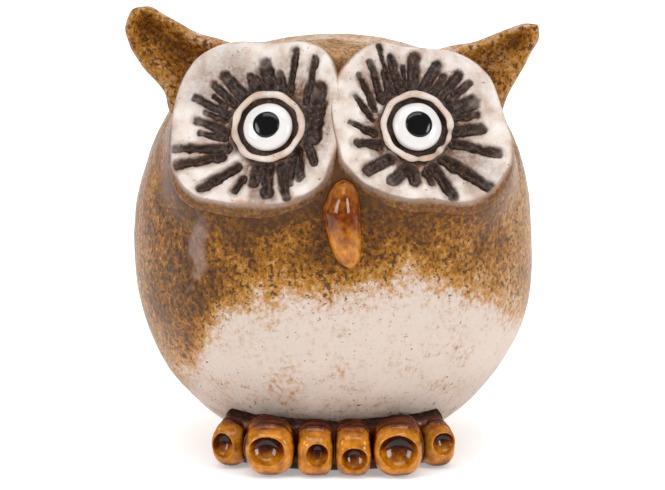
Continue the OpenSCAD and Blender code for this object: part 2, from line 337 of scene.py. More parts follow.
def turned(profile, count=96):
    """A solid of revolution from (radius, height) points that start and end on the axis."""
    around = np.linspace(0, 2 * math.pi, count, endpoint=False)
    points = [(0, 0, profile[0][1])]
    for r, z in profile[1:-1]:
        points += [(r * math.cos(a), r * math.sin(a), z) for a in around]
    points.append((0, 0, profile[-1][1]))
    last = len(points) - 1
    rows = len(profile) - 2
    faces = []
    for i in range(count):
        j = (i + 1) % count
        faces.append((0, 1 + j, 1 + i))
        faces.append((last, last - count + i, last - count + j))
        for row in range(rows - 1):
            a, b = 1 + row * count, 1 + (row + 1) * count
            faces.append((a + i, a + j, b + j, b + i))
    return points, faces


hollow = [(0, base_t), (math.sqrt((pot_r - wall) ** 2 - (belly_z - base_t) ** 2), base_t)]
for degrees in range(-50, 90, 6):
    a = math.radians(degrees)
    r, h = pot_r - wall, crown_h - wall
    if degrees < 0:
        hollow.append((r * math.cos(a), belly_z + r * math.sin(a)))
    else:
        hollow.append((r * math.cos(a) ** (2 / head_square), belly_z + h * math.sin(a) ** (2 / head_square)))
hollow.append((0, belly_z + crown_h - wall))
base_hole = [(0, -2), (recess_r, -2), (recess_r, recess_h), (hole_r, recess_h),
             (hole_r, base_t + 2), (0, base_t + 2)]

slot_outline = [(end * (slot_l - slot_w) / 2 + slot_w / 2 * math.cos(math.radians(start + step * 11.25)),
                 slot_back + slot_w / 2 * math.sin(math.radians(start + step * 11.25)))
                for end, start in ((1, -90), (-1, 90)) for step in range(17)]
n = len(slot_outline)
slot_points = [(x, y, z) for z in (belly_z + 30, belly_z + crown_h + 5) for x, y in slot_outline]
slot_faces = [list(range(n))[::-1], list(range(n, 2 * n))]
slot_faces += [(i, (i + 1) % n, n + (i + 1) % n, n + i) for i in range(n)]

cutters = [cutter("hollow", *turned(hollow)), cutter("base_hole", *turned(base_hole)),
           cutter("slot", slot_points, slot_faces)]
bpy.context.view_layer.update()
cut_mesh = bpy.data.meshes.new_from_object(pot.evaluated_get(bpy.context.evaluated_depsgraph_get()))
pot.modifiers.clear()
pot.data = cut_mesh
for solid in cutters:
    bpy.data.objects.remove(solid)
pot.data.shade_smooth()


def painted(material, *masks):
    """The masks that are painted on a piece's points, each from 0 to 1."""
    return [add(material, "Attribute", attribute_name=mask).outputs["Fac"] for mask in masks]


def noise(material, size, detail, roughness=0.5):
    """Cloudy noise over a piece, with clouds of that size in millimetres."""
    where = add(material, "TexCoord").outputs["Object"]
    return add(material, "TexNoise", {
        "Vector": where, "Scale": 1000 / size, "Detail": detail, "Roughness": roughness}).outputs["Fac"]


def remap(material, value, old, new):
    """A value taken from its old range to a new one, and held inside it."""
    return add(material, "MapRange", {
        "Value": value, "From Min": old[0], "From Max": old[1],
        "To Min": new[0], "To Max": new[1]}).outputs[0]


def cover(material, share, under, over):
    """One colour covered by another, by that share."""
    over = linear(over) if isinstance(over, str) else over
    return add(material, "Mix", {0: share, 6: under, 7: over}, data_type="RGBA").outputs[2]


# Amber glaze, thin and golden at its edge and brown where thick, with dark iron specks and small
# pits that break its shine; below it the bare clay is pale, matt and a little dirty
stoneware = new_material("speckled amber glaze on buff stoneware")
glaze, grime_and_shade, drip = painted(stoneware, "glaze", "grime_and_shade", "drip")
cloud = noise(stoneware, 9, 4, 0.55)
grain = noise(stoneware, 1.5, 5, 0.75)
pepper = noise(stoneware, 1.15, 2, 0.6)
# Thickness of the glaze, with painted shade under the discs and in the notch between them,
# broken up by wide clouds and by fine grain
level = remap(stoneware, cloud, (0.25, 0.75), (-0.2, 0.2))
level = add(stoneware, "Math", {0: level, 1: glaze}, operation="ADD").outputs[0]
fleck = remap(stoneware, grain, (0.3, 0.7), (-0.3, 0.3))
level = add(stoneware, "Math", {0: level, 1: fleck}, operation="ADD").outputs[0]
tone = add(stoneware, "ValToRGB", {"Fac": level}, ramp=[
    (0.0, "#dccbbf"), (0.15, "#d2bba9"), (0.3, "#c39566"), (0.43, "#b57f33"),
    (0.57, "#9e6410"), (0.74, "#744706"), (1.0, "#3f2203")])
# Dark iron specks, thick in the glaze and sparse on the bare belly
speck_size = remap(stoneware, glaze, (0, 0.5), (0, 0.15))
speck_size = add(stoneware, "Math", {0: pepper, 1: speck_size}, operation="ADD").outputs[0]
speck_size = add(stoneware, "Math", {0: grime_and_shade, 1: 0.09, 2: speck_size}, operation="MULTIPLY_ADD").outputs[0]
speck = remap(stoneware, speck_size, (0.685, 0.75), (0, 0.85))
specked = cover(stoneware, speck, tone.outputs[0], "#3c2310")
# Soft brown rub in the lowest clay and painted shade under the discs, behind the foot and in the
# ears' hollows, and a lavender run below the left disc
smear_and_shade = add(stoneware, "Math", {0: grime_and_shade, 1: cloud}, operation="MULTIPLY").outputs[0]
rubbed_and_shaded = cover(stoneware, smear_and_shade, specked, "#7c5332")
skin_colour = cover(stoneware, drip, rubbed_and_shaded, "#a48c82")
gloss = remap(stoneware, level, (0.1, 0.55), (0.52, 0.22))
pits = add(stoneware, "Bump", {"Height": grain, "Strength": 1, "Distance": 0.0006}).outputs[0]
shader = add(stoneware, "BsdfPrincipled", {
    "Base Color": skin_colour, "Roughness": gloss, "Specular IOR Level": 0.2, "Normal": pits})
add(stoneware, "OutputMaterial", {"Surface": shader.outputs[0]})

# Where the glaze was dipped to, as (degrees round from the front, height above the widest line)
glaze_line = np.array([
    (-180, -14), (-130, -24), (-90, -38), (-65, -35), (-50, -28), (-43, -22), (-35.6, -13), (-27, -5),
    (-20, -2), (-13, -2.4), (-6.5, -2.4), (-2.5, -5), (3, -1.6), (12.6, 0), (21, 0), (34, -2), (45, -6),
    (58, -12), (65, -17), (90, -27), (130, -18), (180, -14)])
glaze_fade = 14.0  # the coat is full this far above the line


def vertices_mm(mesh):
    at = np.empty(len(mesh.vertices) * 3, np.float32)
    mesh.vertices.foreach_get("co", at)
    return at.reshape(-1, 3) * 1000.0 - (0, axis_y * 1000, 0)


at = vertices_mm(cut_mesh)
high = at[:, 2] - belly_z
round_pot = np.degrees(np.arctan2(at[:, 0], -at[:, 1]))
above = high - np.interp(round_pot, glaze_line[:, 0], glaze_line[:, 1])
above += 2.2 * lump(at, 7, 4) + 1.2 * lump(at, 3, 5)
# Full in the band, thin on the flanks and worn away over the crown
coat = 0.66 * ease(above, -6, glaze_fade) + 0.1 * ease(above, 8, 24) - 0.32 * ease(high, 36, 56)
coat -= 0.2 * ease(np.abs(round_pot), 42, 75) * (1 - ease(at[:, 1], 0, 40))
# Painted shade in the notch between the discs above the beak, and thinner and more golden right of the beak
coat += 0.6 * np.exp(-(((at[:, 0] - 2.4) / 4) ** 2 + ((high - 33) / 4) ** 2)) * (at[:, 1] < 0)
coat -= 0.13 * ease(round_pot, 10, 36) * (1 - ease(round_pot, 70, 110)) * ease(high, -4, 6)
# Painted shade below the discs' lower edges; it darkens the glaze coat and feeds the brown smear
shadow = np.zeros(len(at))
for disc, shape in zip(discs, disc_shapes):
    w, _, beyond = off_disc(at, disc, shape)
    shadow = np.maximum(shadow, np.exp(-np.clip(beyond, 0, None) / 3.0) * (at[:, 1] < 0) * (w < 5))
# Painted shade low on the front of the pot, behind the foot slab
foot_shadow = (1 - ease(high, -40, -33)) * (at[:, 1] < -20)
low_clay = (1 - ease(high + 3 * lump(at, 6, 6), -38, -16)) * 0.5
drop = run_of_glaze(at)
# Brown smear: painted shade under the discs and behind the foot, and dirt on the lowest clay
dirt_and_shade = np.clip(np.maximum.reduce([0.9 * shadow, foot_shadow, low_clay]), 0, 1)
for mask, values in {"glaze": coat + 0.25 * shadow, "grime_and_shade": dirt_and_shade, "drip": 0.5 * drop}.items():
    cut_mesh.attributes.new(mask, "FLOAT", "POINT").data.foreach_set("value", values.astype(np.float32))
pot.data.materials.clear()
pot.data.materials.append(stoneware)
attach(pot, "owl")
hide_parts("body_shell")

# ---------------------------------------------------------------------------------------------
# The ears: two tufts pinched from the head's corners, hollowed down the front between a rolled
# upper rim and a thin outer edge, and glazed with the pot.
ear_y = -2.0


def along_curve(points, count):
    """Even steps along a smooth line through given points."""
    points = np.array(points, float)
    knots = np.concatenate([[0], np.cumsum(np.linalg.norm(np.diff(points, axis=0), axis=1))])
    fine = np.linspace(0, knots[-1], 400)
    columns = range(points.shape[1])
    path = np.stack([np.interp(fine, knots, points[:, i]) for i in columns], axis=1)
    kernel = np.hanning(61) / np.hanning(61).sum()
    ends = [np.repeat(path[:1], 30, axis=0) * 2 - path[30:0:-1], path,
            np.repeat(path[-1:], 30, axis=0) * 2 - path[-2:-32:-1]]
    path = np.stack([np.convolve(np.vstack(ends)[:, i], kernel, "valid") for i in columns], axis=1)
    steps = np.linspace(0, len(path) - 1, count)
    return np.stack([np.interp(steps, np.arange(len(path)), path[:, i]) for i in columns], axis=1)


def grid_faces(rows, around):
    """Faces of a tube of rings, one ring after another, with a fan over each end."""
    i = np.arange(rows - 1)[:, None] * around
    j = np.arange(around)[None, :]
    k = (j + 1) % around
    faces = np.stack([i + j, i + k, i + around + k, i + around + j], axis=-1).reshape(-1, 4).tolist()
    return faces + [list(range(around))[::-1], list(range((rows - 1) * around, rows * around))]


def ear(name, side, rim, edge, thick, hollow_depth, thin, seed):
    """One ear between its upper rim and its outer edge, each (across, above the widest line)."""
    rows, around = 150, 132
    rim, edge = along_curve(rim, rows), along_curve(edge, rows)
    angle = np.linspace(0, 2 * math.pi, around, endpoint=False)
    share = np.linspace(0, 1, rows)[:, None]
    u, v = np.cos(angle)[None, :], np.sin(angle)[None, :]
    half = (rim - edge) / 2
    middle = (rim + edge) / 2
    round_tip = np.sqrt(np.clip(1 - np.clip((share - 0.9) / 0.1, 0, 1) ** 2, 0, 1))
    depth = np.interp(share, [0, 0.35, 0.7, 1], thick) * np.maximum(round_tip, 0.02)
    across = np.sign(u) * np.abs(u) ** 0.9
    x = middle[:, :1] + half[:, :1] * across * np.maximum(round_tip, 0.05)
    z = middle[:, 1:] + half[:, 1:] * across * np.maximum(round_tip, 0.05)
    valley = np.exp(-(((u - 0.15) / 0.52) ** 2)) * hollow_depth
    valley = valley * ease(share, 0.02, 0.25) * (1 - ease(share, 0.78, 0.97))
    y = depth * np.where(v < 0, -np.abs(v) ** 0.8 + np.abs(v) ** 0.5 * valley, np.abs(v) ** 0.9)
    points = np.stack([side * x, ear_y + y, belly_z + z], axis=-1).reshape(-1, 3)
    mask = (np.where(v < 0, 1.0, 0.0) * valley / max(hollow_depth, 0.01)).reshape(-1)
    rim_mask = (ease(u, 0.55, 0.9) * np.ones_like(share)).reshape(-1)
    bumps = 0.25 * lump(points, 5, seed) + 0.16 * lump(points, 2.2, seed + 1) * (0.4 + 1.8 * mask)
    bumps += 0.22 * mask * lump(points, 1.1, seed + 2)
    centre = np.stack([side * middle[:, 0], np.full(rows, ear_y), belly_z + middle[:, 1]], axis=1)
    centre = np.repeat(centre, around, axis=0)
    out = points - centre
    out /= np.maximum(np.linalg.norm(out, axis=1), 1e-6)[:, None]
    points = points + out * bumps[:, None]
    faces = grid_faces(rows, around)
    if side > 0:
        faces = [f[::-1] for f in faces]
    run = np.repeat(share[:, 0], around)
    coat = thin + 0.1 * lump(points, 6, seed + 3) + 0.14 * mask - 0.12 * rim_mask + 0.1 * run
    # Painted shade in the ear's front hollow, fading towards the tip
    dirt_and_shade = np.clip(0.6 * mask * (1 - 0.6 * run), 0, 1)
    piece = mesh_piece(name, points, faces, {"glaze": coat, "grime_and_shade": dirt_and_shade, "drip": 0 * coat})
    piece.data.materials.append(stoneware)
    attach(piece, "owl")
    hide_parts(name)
    return piece


ear("left_ear", -1,
    rim=[(17, 57), (25, 58.9), (32.8, 61.2), (36.6, 62.2), (40.2, 63.9), (45, 67), (49.5, 69.8),
         (53.2, 70.3)],
    edge=[(38, 30), (44, 38), (45.6, 42), (46.2, 45.8), (48.6, 49), (52, 53), (55.4, 57.7), (57.2, 63.3),
          (56.6, 67.8)],
    thick=[9, 6.2, 4.6, 3.2], hollow_depth=1.6, thin=0.43, seed=11)
ear("right_ear", 1,
    rim=[(16, 54), (24, 56.6), (31.7, 58.8), (36, 59.6), (40.5, 60.7), (46.2, 63.2), (51.4, 65.3),
         (54.9, 65.6)],
    edge=[(38, 29), (44, 36), (46.2, 41), (47.5, 45), (49.9, 49.5), (52.6, 53.9), (54.6, 58.3), (56.4, 61),
          (56.6, 63.8)],
    thick=[9, 6, 4.2, 2.8], hollow_depth=1.3, thin=0.36, seed=21)

# ---------------------------------------------------------------------------------------------
# The face discs: hand-cut slabs pressed on the head, leaning back a little. Strokes pressed in
# with a stick run out from each eye and hold dark iron stain under a thin white slip.
edge_r = 1.8  # roundness of a disc's front edge
ring_mid = 8.95  # an eye ring's own radius

# Strokes as (start angle, start distance, end angle, end distance, width), round each eye.
left_strokes = [(211, 12, 195, 26, 2.4), (216, 14.5, 206, 26.5, 2.4), (238, 13.5, 227, 23.8, 2.5),
                (251, 15.5, 248, 19, 2.0), (189, 11.5, 176, 19.5, 2.4), (198, 12, 186, 18.5, 1.9),
                (165, 12, 160, 22.2, 2.3), (172, 12, 169, 18, 1.8), (149, 12, 145, 19.5, 2.2),
                (157, 13, 153, 17.5, 1.6), (132, 10.4, 134, 18.9, 3.2), (118, 11.2, 115, 15.5, 2.0),
                (89, 10.4, 100, 18.2, 3.7), (107, 11, 110, 14, 2.2), (64, 10.7, 77, 22.3, 1.8),
                (75, 11, 84, 15, 2.4), (40, 12.1, 62, 22.4, 2.0), (352, 12.2, 42, 16.6, 4.6),
                (20, 12, 30, 15.2, 4.2), (340, 11.7, 326, 16.2, 2.2), (322, 10.6, 307, 16.3, 3.4),
                (306, 12.5, 296, 16, 3.4), (294, 11.5, 290, 20.0, 2.6), (276, 11.1, 275, 18.0, 3.4),
                (262, 11.6, 262, 15.5, 3.0)]
right_strokes = [(118, 11.0, 108, 24.3, 1.5), (137, 11.6, 119, 21.4, 2.1), (127, 11.2, 113, 17.0, 2.0),
                 (153, 12.0, 132, 20.8, 1.7), (166, 12.0, 149, 18.2, 1.6), (186, 11.8, 173, 17.7, 2.0),
                 (203, 11.4, 192, 16.8, 2.3), (225, 11.8, 218, 18.0, 3.2), (249, 12.2, 240, 16.5, 3.5),
                 (258, 12.5, 262, 14.6, 3.0), (276, 12.6, 280, 15.2, 2.4), (287, 12.0, 292, 21.0, 3.2),
                 (304, 11.2, 316, 25.6, 3.2), (333, 10.6, 339, 22.8, 2.6), (351, 10.6, 356, 17.5, 3.0),
                 (12, 11.2, 10, 16.5, 2.4), (25, 9.8, 21, 17.2, 4.4), (36, 10.4, 37, 19.5, 2.2),
                 (47, 10.2, 47, 18.7, 3.0), (60, 11.0, 57, 16.0, 2.0), (73, 11.2, 66, 18.4, 3.0),
                 (89, 10.8, 85, 19.2, 3.4), (106, 10.8, 104, 20.0, 2.6), (97, 11.0, 96, 17.0, 1.6)]

# Brown washes run out between the strokes, as (angle, spread, how far out, strength).
left_washes = [(80, 62, 23, 1), (20, 48, 21, 1), (335, 50, 20, 1), (275, 42, 20, 1), (165, 42, 17, 1),
               (205, 24, 14.5, 0.8), (140, 32, 34, 0.85), (272, 15, 34, 0.9)]
right_washes = [(112, 42, 25, 1), (65, 34, 22, 1), (20, 36, 22, 1), (330, 32, 20, 0.9), (185, 45, 17, 1),
                (255, 36, 16, 1), (300, 24, 22, 0.7), (35, 30, 26, 0.55), (318, 20, 32, 0.75)]


def wash_over(u, w, washes, wobble):
    """How brown the washes leave each point."""
    from_eye, angle = np.hypot(u, w), np.degrees(np.arctan2(w, u))
    wash = np.zeros(len(u))
    for at_angle, spread, reach, strength in washes:
        off = np.abs((angle - at_angle + 180) % 360 - 180)
        outward_fade = 1 - ease(from_eye + 1.6 * wobble, 11, reach)
        wash = np.maximum(wash, strength * outward_fade * (1 - ease(off, spread * 0.55, spread)))
    return wash


def press_strokes(u, w, strokes, wobble):
    """How deep the strokes are pressed at each point, their dark stain, and the haze beside them."""
    depth = np.zeros(len(u))
    lips = np.zeros(len(u))
    stain = np.zeros(len(u))
    halo = np.zeros(len(u))
    for a0, r0, a1, r1, width in strokes:
        p0 = np.array([math.cos(math.radians(a0)), math.sin(math.radians(a0))]) * r0
        p1 = np.array([math.cos(math.radians(a1)), math.sin(math.radians(a1))]) * r1
        d = p1 - p0
        t = np.clip(((u - p0[0]) * d[0] + (w - p0[1]) * d[1]) / (d @ d), 0, 1)
        away = np.hypot(u - p0[0] - t * d[0], w - p0[1] - t * d[1]) + 0.32 * wobble
        half = width / 2 * (1.28 - 0.24 * t)
        inside = np.clip(1 - (away / half) ** 2, 0, 1)
        worn = 1 - (0.16 + 0.2 * wobble) * ease(t, 0.75, 1.0)
        depth = np.maximum(depth, (0.55 + 0.22 * width) * inside**0.7)
        lips = np.maximum(lips, 0.22 * np.exp(-(((away - half - 0.35) / 0.4) ** 2)))
        stain = np.maximum(stain, worn * (1 - ease(away, half * 0.75, half * 1.08)))
        halo = np.maximum(halo, 1 - ease(away, half * 0.8, half + 1.5 + 0.6 * wobble))
    return lips * (1 - np.clip(depth * 4, 0, 1)) - depth, np.clip(stain, 0, 1), halo


def face_disc(name, side, strokes, washes, seed):
    """One disc, from rings of points over its front, down its cut edge and in behind it."""
    eye, right, up, out = discs[0 if side < 0 else 1]
    angles, radii = disc_shapes[0 if side < 0 else 1]
    around = len(angles)
    outline = np.stack([radii * np.cos(angles), radii * np.sin(angles), 0 * angles], axis=1)
    radii = radii + 0.3 * lump(outline, 5, seed)
    front = 150
    flare = 2.6 * ease(-np.sin(angles), 0.15, 0.7)
    reaches, heights, side_mask, rim_mask = [], [], [], []
    for step in range(front):
        reach = radii * (step + 0.5) / front
        inset = radii - reach
        fall = edge_r - np.sqrt(np.clip(edge_r**2 - np.clip(edge_r - inset, 0, edge_r) ** 2, 0, None))
        reaches.append(reach)
        heights.append(-fall)
        side_mask.append(0.7 * (1 - ease(inset, 0.15, 0.75)))
        rim_mask.append(1 - ease(inset, 0.1, 1.8))
    for out_by, deep in ((0.15, 2.2), (0.25, 2.7), (0.25, 3.2), (0.15, 3.7), (-0.1, 4.2),
                         (-0.6, 4.6), (-1.5, 4.9), (-4, 5.0), (-9, 5.0)):
        reaches.append(radii + out_by + flare * ease(deep, 1.2, 4.4))
        heights.append(0 * angles - deep)
        side_mask.append(0 * angles + 1.0)
        rim_mask.append(0 * angles + (1.0 if deep < 2.5 else 0.4))
    u = np.concatenate([reach * np.cos(angles) for reach in reaches])
    w = np.concatenate([reach * np.sin(angles) for reach in reaches])
    n, side_mask, rim_mask = (np.concatenate(rows) for rows in (heights, side_mask, rim_mask))
    flat = np.stack([u, w, 0 * u], axis=1)
    is_front = 1 - side_mask
    from_eye = np.hypot(u, w)
    wobble = lump(flat, 1.6, seed + 1) + 0.5 * lump(flat, 0.7, seed + 2)
    pressed, stain, halo = press_strokes(u, w, strokes, wobble)
    edge_fade = 1 - 0.75 * rim_mask
    soft = ease(from_eye, 9.5, 12.5)
    relief = (0.7 * lump(flat, 8, seed + 3) + 0.36 * lump(flat, 3.4, seed + 4)) * soft
    relief += 0.06 * lump(flat, 1.3, seed + 5) * soft
    relief += pressed * is_front * edge_fade
    well = (ease(from_eye, 6.2, 6.8) - ease(from_eye, 7.8, 8.6)) * 0.7
    relief -= well
    n = n + relief * np.maximum(is_front, 0.3)
    collar = (1 - ease(from_eye + 0.9 * lump(flat, 2.4, seed + 7), 9.6, 11.6)) * ease(from_eye, 9.0, 9.6)
    inner = 1 - ease(from_eye, 8.3, 9.0)
    stain = np.clip(np.maximum(stain, collar * 0.8), 0, 1) * is_front
    stain = np.maximum(stain, inner * (0.8 + 0.25 * lump(flat, 2.6, seed + 11)))
    halo = 0.9 * halo * ease(lump(flat, 4, seed + 10), -0.8, 0.5)
    wash = np.maximum(wash_over(u, w, washes, wobble), halo)
    wash = np.maximum(wash, inner) * is_front
    tan = 0.62 * rim_mask + 0.45 * lump(flat, 5, seed + 8) + 0.2 * lump(flat, 1.5, seed + 9)
    tan = ease(tan, 0.35, 1.05) * is_front
    points = eye + u[:, None] * right + w[:, None] * up + n[:, None] * out
    faces = grid_faces(len(u) // around, around)
    piece = mesh_piece(name, points, faces, {"stain": stain, "wash": wash, "tan": tan, "side": side_mask})
    piece.data.materials.append(slip)
    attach(piece, "owl")
    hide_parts(name)
    return piece


# White slip, warm and soft in its shine, over a brown-black stain that shows in every hollow;
# the cut edge is ochre clay
slip = new_material("white slip over iron stain, satin glazed")
stain_mask, wash_mask, tan_mask, side_part = painted(slip, "stain", "wash", "tan", "side")
grit = noise(slip, 1.1, 4, 0.7)
white = add(slip, "ValToRGB", {"Fac": noise(slip, 5, 4)}, ramp=[
    (0.3, "#c0a999"), (0.46, "#d9cbc0"), (0.66, "#e8dfd9")])
peach = cover(slip, tan_mask, white.outputs[0], "#c29672")
# The wash and the stain thin out in grains where the slip sat over them
thin_wash = remap(slip, grit, (0.3, 0.6), (0.55, 1.15))
thin_wash = add(slip, "Math", {0: thin_wash, 1: wash_mask}, operation="MULTIPLY", use_clamp=True).outputs[0]
washed = cover(slip, thin_wash, peach, "#67412a")
iron = add(slip, "ValToRGB", {"Fac": grit}, ramp=[(0.35, "#190d07"), (0.55, "#352117"), (0.72, "#694a39")])
stained = cover(slip, stain_mask, washed, iron.outputs[0])
ochre = add(slip, "ValToRGB", {"Fac": grit}, ramp=[(0.3, "#38230d"), (0.5, "#704619"), (0.7, "#9c6b36")])
slip_side = cover(slip, side_part, stained, ochre.outputs[0])
dots = remap(slip, noise(slip, 0.8, 1), (0.7, 0.76), (0, 0.8))
slip_colour = cover(slip, dots, slip_side, "#6e4a33")
slip_gloss = remap(slip, stain_mask, (0, 1), (0.42, 0.24))
tooth = add(slip, "Bump", {"Height": grit, "Strength": 0.6, "Distance": 0.0003}).outputs[0]
slip_shine = remap(slip, stain_mask, (0, 1), (0.3, 0.26))
slip_shader = add(slip, "BsdfPrincipled", {
    "Base Color": slip_colour, "Roughness": slip_gloss, "Specular IOR Level": slip_shine, "Normal": tooth})
add(slip, "OutputMaterial", {"Surface": slip_shader.outputs[0]})

face_disc("left_face_disc", -1, left_strokes, left_washes, 31)
face_disc("right_face_disc", 1, right_strokes, right_washes, 41)

# ---------------------------------------------------------------------------------------------
# The eye rings: a thin coil of clay laid round each eye while soft and nipped down with a tool,
# so that its width wanders; it carries the same slip and stain as the disc under it.
def eye_ring(name, side, thin_spots, seed):
    """One ring; thin_spots are the nips, as (degrees round, width, share of the coil taken)."""
    eye, right, up, out = discs[0 if side < 0 else 1]
    around, tube = 288, 36
    a = np.linspace(0, 2 * math.pi, around, endpoint=False)[:, None]
    b = np.linspace(0, 2 * math.pi, tube, endpoint=False)[None, :]
    loop = np.concatenate([np.cos(a) * 8, np.sin(a) * 8, 0 * a], axis=1)
    drift = 0.3 * lump(loop, 5, seed) + 0.1 * np.cos(9 * a[:, 0] + seed)
    thick = 0.86 * (1 + 0.2 * lump(loop, 2.5, seed + 1))
    broken = np.zeros(around)
    for spot, width, drop in thin_spots:
        gap = np.abs((np.degrees(a[:, 0]) - spot + 180) % 360 - 180)
        thin = drop * np.exp(-((gap / width) ** 2))
        thick *= 1 - thin
        broken = np.maximum(broken, 1.5 * thin)
    reach = ring_mid + drift[:, None] + thick[:, None] * np.cos(b)
    high = 0.7 + thick[:, None] * 0.95 * np.sin(b)
    u, w = reach * np.cos(a), reach * np.sin(a)
    flat = np.stack([u, w, high], axis=-1).reshape(-1, 3)
    grain = 0.1 * lump(flat, 1.4, seed + 2) + 0.05 * lump(flat, 0.6, seed + 3)
    points = eye + u.reshape(-1, 1) * right + w.reshape(-1, 1) * up
    points = points + (high.reshape(-1, 1) + grain[:, None]) * out
    i = (np.arange(around)[:, None] * tube + np.arange(tube)[None, :])
    j = np.roll(i, -1, axis=0)
    faces = np.stack([i, j, np.roll(j, -1, axis=1), np.roll(i, -1, axis=1)], axis=-1).reshape(-1, 4).tolist()
    low_side = (1 - ease(high, 0.1, 0.9)).reshape(-1)
    stain = np.clip(low_side + np.repeat(broken, tube) * 0.6, 0, 1)
    tan = 0.25 + 0.35 * lump(flat, 3, seed + 4)
    piece = mesh_piece(name, points, faces,
                       {"stain": stain, "wash": 0.5 * low_side, "tan": tan, "side": 0 * stain})
    piece.data.materials.append(slip)
    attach(piece, "owl")
    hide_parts(name)


eye_ring("left_eye_ring", -1, [(215, 9, 0.25)], 51)
eye_ring("right_eye_ring", 1, [(-12, 7, 0.45), (-38, 9, 0.55), (-62, 7, 0.4), (-95, 6, 0.35)], 61)

# ---------------------------------------------------------------------------------------------
# The eyeballs and pupils: flattened pellets, the white one under the black, each in its own
# thick gloss glaze, so they stay bright beside the satin discs.

# Smooth and wet looking, with one small sharp highlight each
white_gloss = new_material("gloss white glaze")
white_shader = add(white_gloss, "BsdfPrincipled", {
    "Base Color": linear("#e3dfdd"), "Roughness": 0.12, "IOR": 1.52})
add(white_gloss, "OutputMaterial", {"Surface": white_shader.outputs[0]})
black_gloss = new_material("gloss black glaze")
black_shader = add(black_gloss, "BsdfPrincipled", {
    "Base Color": linear("#0a0808"), "Roughness": 0.1, "IOR": 1.4})
add(black_gloss, "OutputMaterial", {"Surface": black_shader.outputs[0]})

ball_points, ball_faces = ball(47)


def pellet(name, side, radius, low, high, dish, finish, seed):
    """A flattened pellet on an eye, from low to high above the disc's face."""
    eye, right, up, out = discs[0 if side < 0 else 1]
    d = ball_points
    flat = np.hypot(d[:, 0], d[:, 1])
    squash = (flat**2.6 + np.abs(d[:, 2]) ** 2.6) ** (-1 / 2.6)
    p = d * squash[:, None]
    edge = radius * (1 + 0.02 * lump(d * radius, 3.5, seed))
    u, w = p[:, 0] * edge, p[:, 1] * edge
    n = np.where(p[:, 2] > 0, low + (high - low) * p[:, 2], low + 0.4 * p[:, 2])
    n -= dish * np.exp(-((np.hypot(u, w) / (0.55 * radius)) ** 2)) * (p[:, 2] > 0)
    n += 0.03 * lump(d * radius, 2.5, seed + 1)
    piece = mesh_piece(name, eye + u[:, None] * right + w[:, None] * up + n[:, None] * out, ball_faces)
    piece.data.materials.append(finish)
    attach(piece, "owl")
    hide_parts(name)


for side, word in ((-1, "left"), (1, "right")):
    pellet(word + "_eyeball", side, radius=6.5, low=0.3, high=2.9, dish=0.1,
           finish=white_gloss, seed=71 + side)
    pellet(word + "_pupil", side, radius=3.6, low=2.45, high=3.45, dish=0.15,
           finish=black_gloss, seed=81 + side)

# ---------------------------------------------------------------------------------------------
# The beak: a pinched drop of clay pushed up between the discs, in a runny honey glaze that
# breaks light over its ridge, with painted shade along its sides where it meets the pot.

# Clear amber where thin and nearly black where it pools, under a wet shine; the pool mask also
# carries painted shade where the beak meets the pot and between the toes; the dry mask gives the
# bare crumbly clay along the top of the foot slab
honey = new_material("runny honey gloss glaze")
pool_and_shade_mask, dry_mask = painted(honey, "pool_and_shade", "dry")
mottle = remap(honey, noise(honey, 2.6, 5, 0.65), (0.3, 0.7), (-0.2, 0.2))
deep = add(honey, "Math", {0: mottle, 1: pool_and_shade_mask}, operation="ADD").outputs[0]
honey_tone = add(honey, "ValToRGB", {"Fac": deep}, ramp=[
    (0.0, "#e0953a"), (0.18, "#c77c12"), (0.38, "#985608"), (0.58, "#682b00"),
    (0.78, "#3d1200"), (1.0, "#1e0800")])
crumbs = noise(honey, 1.3, 4, 0.7)
dry_clay = add(honey, "ValToRGB", {"Fac": crumbs}, ramp=[
    (0.35, "#1b0f09"), (0.55, "#352118"), (0.72, "#614838")])
honey_colour = cover(honey, dry_mask, honey_tone.outputs[0], dry_clay.outputs[0])
honey_gloss = remap(honey, dry_mask, (0, 1), (0.09, 0.85))
crumbly = add(honey, "Bump", {"Height": crumbs, "Strength": dry_mask, "Distance": 0.0006}).outputs[0]
honey_shine = remap(honey, dry_mask, (0, 1), (0.5, 0.1))
honey_shader = add(honey, "BsdfPrincipled", {
    "Base Color": honey_colour, "Roughness": honey_gloss, "IOR": 1.45, "Normal": crumbly,
    "Specular IOR Level": honey_shine})
add(honey, "OutputMaterial", {"Surface": honey_shader.outputs[0]})

beak_keys = np.array([
    # above widest line, middle across, half width, reach in front of the axis
    (31.2, 2.6, 0.1, 53.0), (30.4, 2.6, 2.2, 55.4), (27.5, 2.4, 4.0, 57.7), (23.7, 1.9, 5.2, 59.2),
    (19.0, 2.4, 4.7, 59.9), (15.0, 3.0, 4.2, 60.0), (12.0, 3.6, 3.7, 59.8), (9.8, 3.9, 2.7, 59.2),
    (8.9, 4.2, 0.1, 58.2)])
beak_rows, beak_around = 120, 96
beak_path = along_curve(beak_keys, beak_rows)
beak_path[0, 2] = beak_path[-1, 2] = 0.05
turn = np.linspace(0, 2 * math.pi, beak_around, endpoint=False)[None, :]
u, v = np.cos(turn), np.sin(turn)
deep = beak_path[:, 3:] - skin(beak_path[:, :1])
ridge = 1 + 0.05 * np.exp(-((u / 0.3) ** 2))
x = beak_path[:, 1:2] + np.abs(beak_path[:, 2:3]) * np.sign(u) * np.abs(u) ** 0.92
y = -skin(beak_path[:, :1]) - deep * v * np.where(v > 0, ridge, 1)
z = belly_z + beak_path[:, :1] + 0 * x
beak_points = np.stack([x, y, z], axis=-1).reshape(-1, 3)
beak_points[:, 1] -= 0.25 * lump(beak_points, 6, 91) + 0.1 * lump(beak_points, 2.5, 92)
